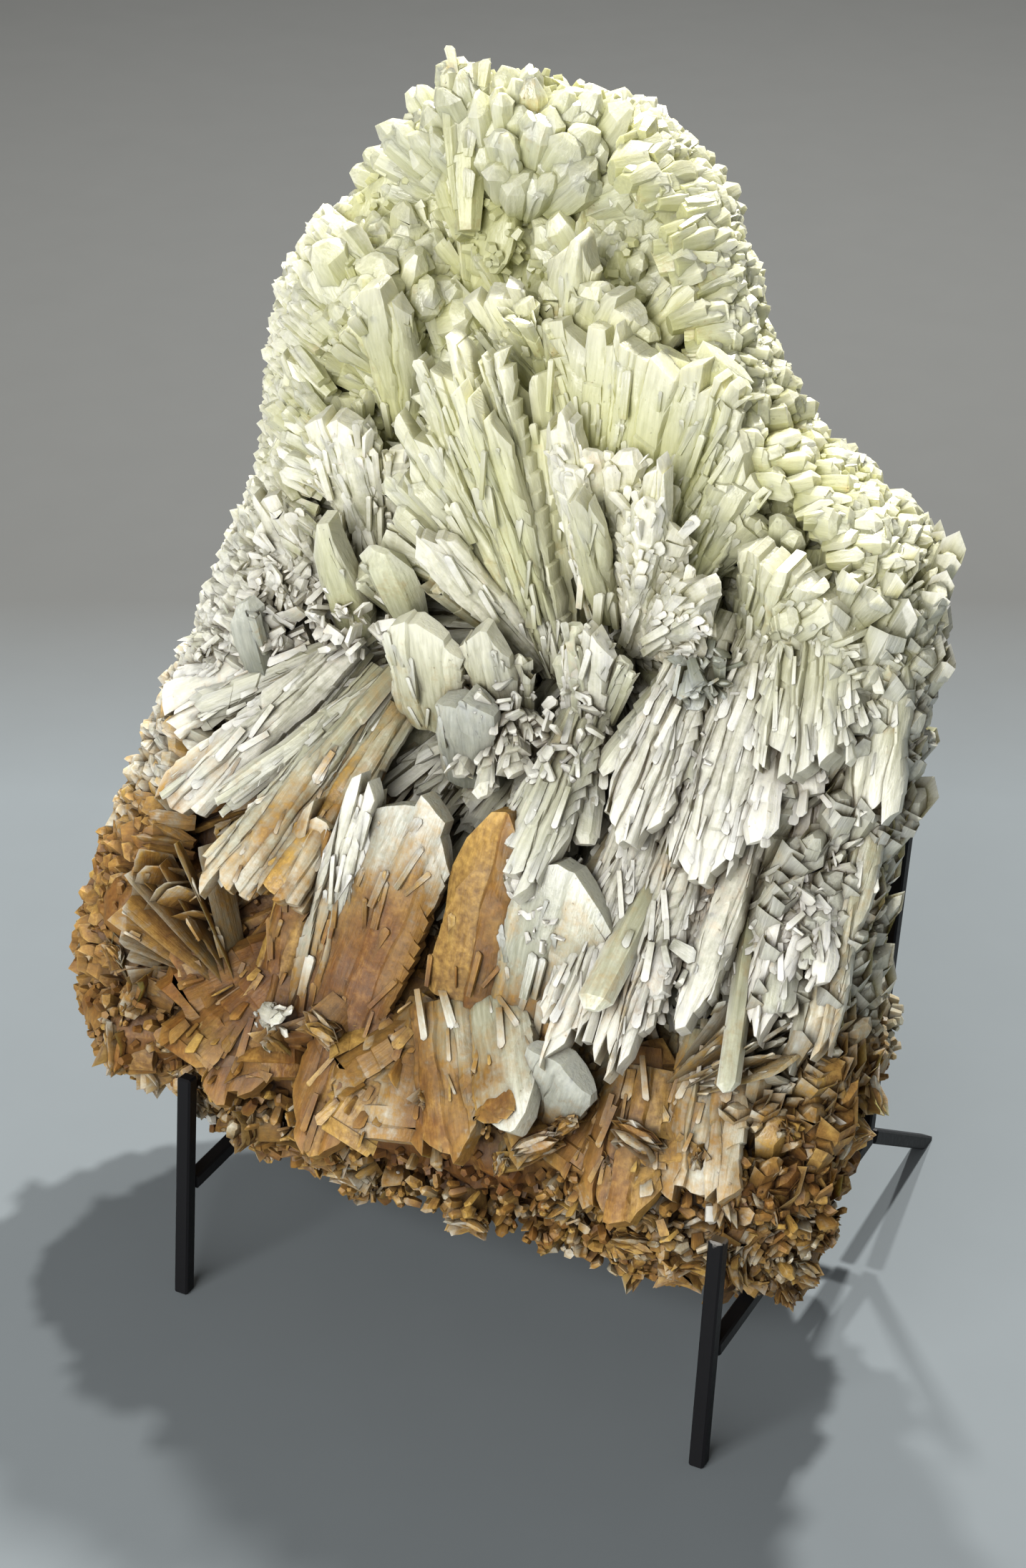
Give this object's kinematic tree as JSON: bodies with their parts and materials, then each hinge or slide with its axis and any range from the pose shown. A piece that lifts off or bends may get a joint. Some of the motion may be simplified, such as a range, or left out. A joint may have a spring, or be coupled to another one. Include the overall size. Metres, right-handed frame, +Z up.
{
  "type": "barite crystal cluster on stand",
  "caption": "Tall cluster of fanned tabular barite crystals on a rust-stained base, resting on the side rails of a black square-bar display stand and leaning on its uprights.",
  "frame": {"origin": "on the floor, under the middle of the whole object's box", "axes": "+X to the right seen from the front, +Y from the front of the stand to its back, +Z up"},
  "size_m": [0.2202, 0.161, 0.3054],
  "materials": {
    "barite": "translucent pale yellow-green crystals, white at their roots, tan and rust brown towards the base",
    "black_steel": "satin black paint, worn bright on the cut end of the right front post"
  },
  "bodies": {
    "root": {"barite_cluster": "barite", "front_post_left": "black_steel", "front_post_right": "black_steel", "side_rail_left": "black_steel", "side_rail_right": "black_steel", "upright_left": "black_steel", "upright_right": "black_steel", "rear_leg_left": "black_steel", "rear_leg_right": "black_steel", "lower_crossbar": "black_steel", "upper_crossbar": "black_steel"}
  },
  "joints": []
}
